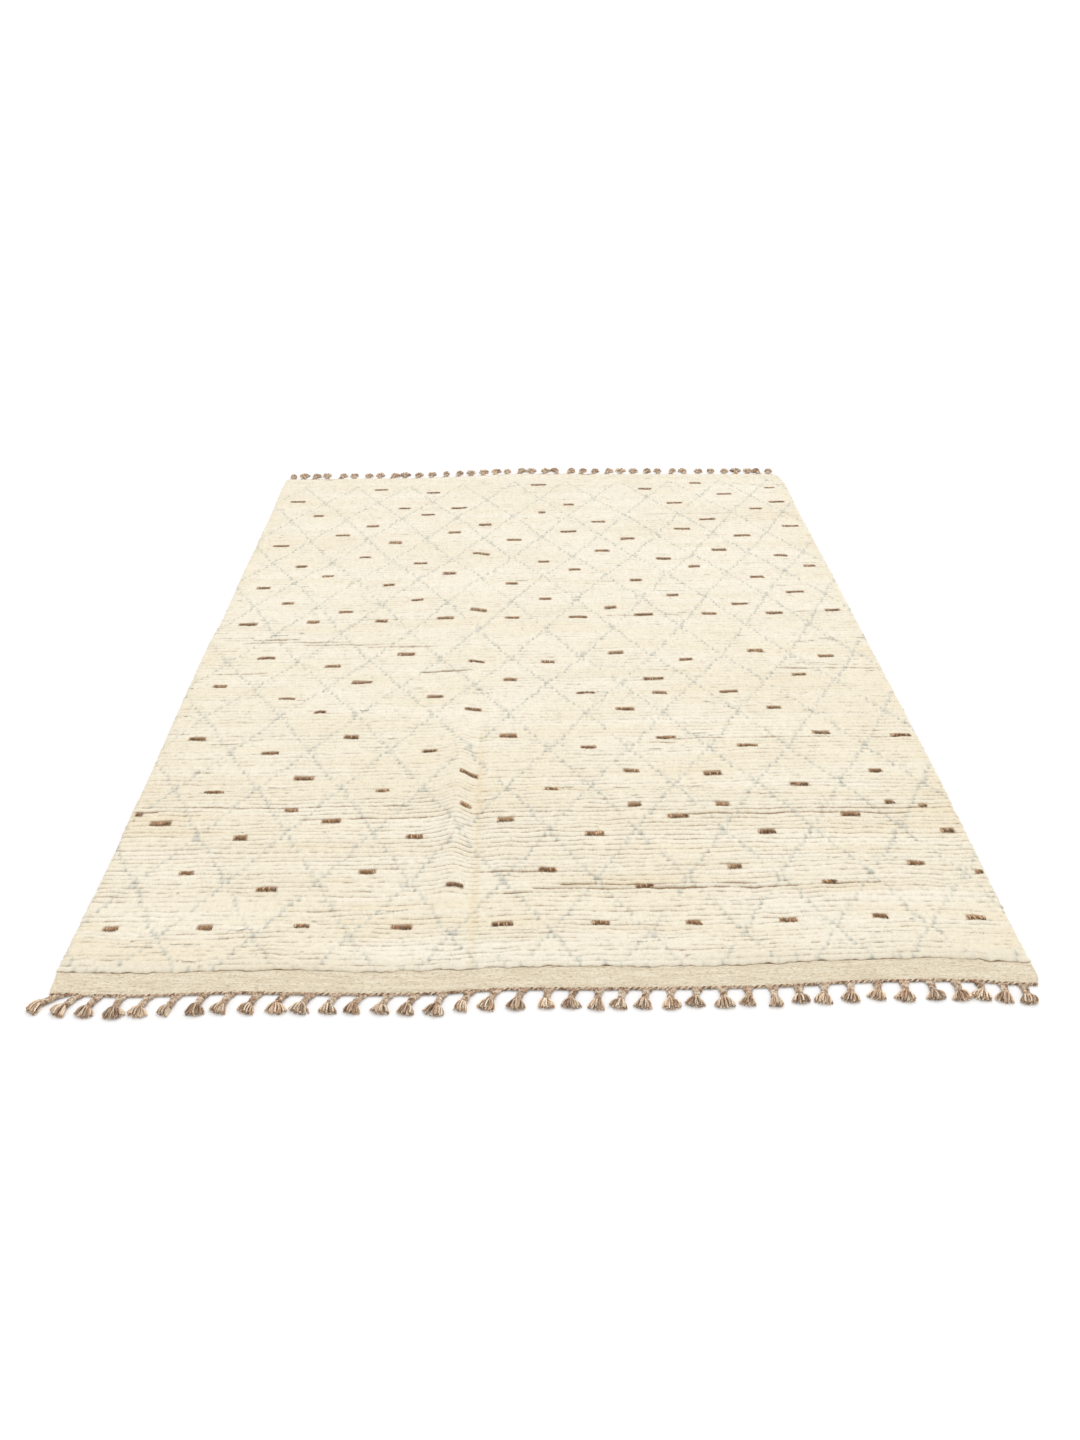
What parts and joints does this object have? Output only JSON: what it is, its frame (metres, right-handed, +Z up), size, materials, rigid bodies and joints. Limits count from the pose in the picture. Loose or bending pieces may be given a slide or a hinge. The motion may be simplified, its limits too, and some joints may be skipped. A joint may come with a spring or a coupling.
{
  "type": "hand-knotted pile rug",
  "caption": "Rectangular hand-knotted wool pile rug with a diamond lattice, flat-woven end bands and short braided tassels along both ends.",
  "frame": {"origin": "centre of the underside, on the floor that the rug lies on", "axes": "+Z up from the floor, +Y along the rug's length from the near tassels to the far ones, +X across it to the right"},
  "size_m": [2.0484, 3.153, 0.0309],
  "materials": {
    "cream_wool": "matte cut wool pile",
    "brown_warp_yarn": "mottled brown and grey plied yarn"
  },
  "bodies": {
    "root": {"rug_body": "cream_wool", "fringe_near": "brown_warp_yarn", "fringe_far": "brown_warp_yarn"}
  },
  "joints": []
}
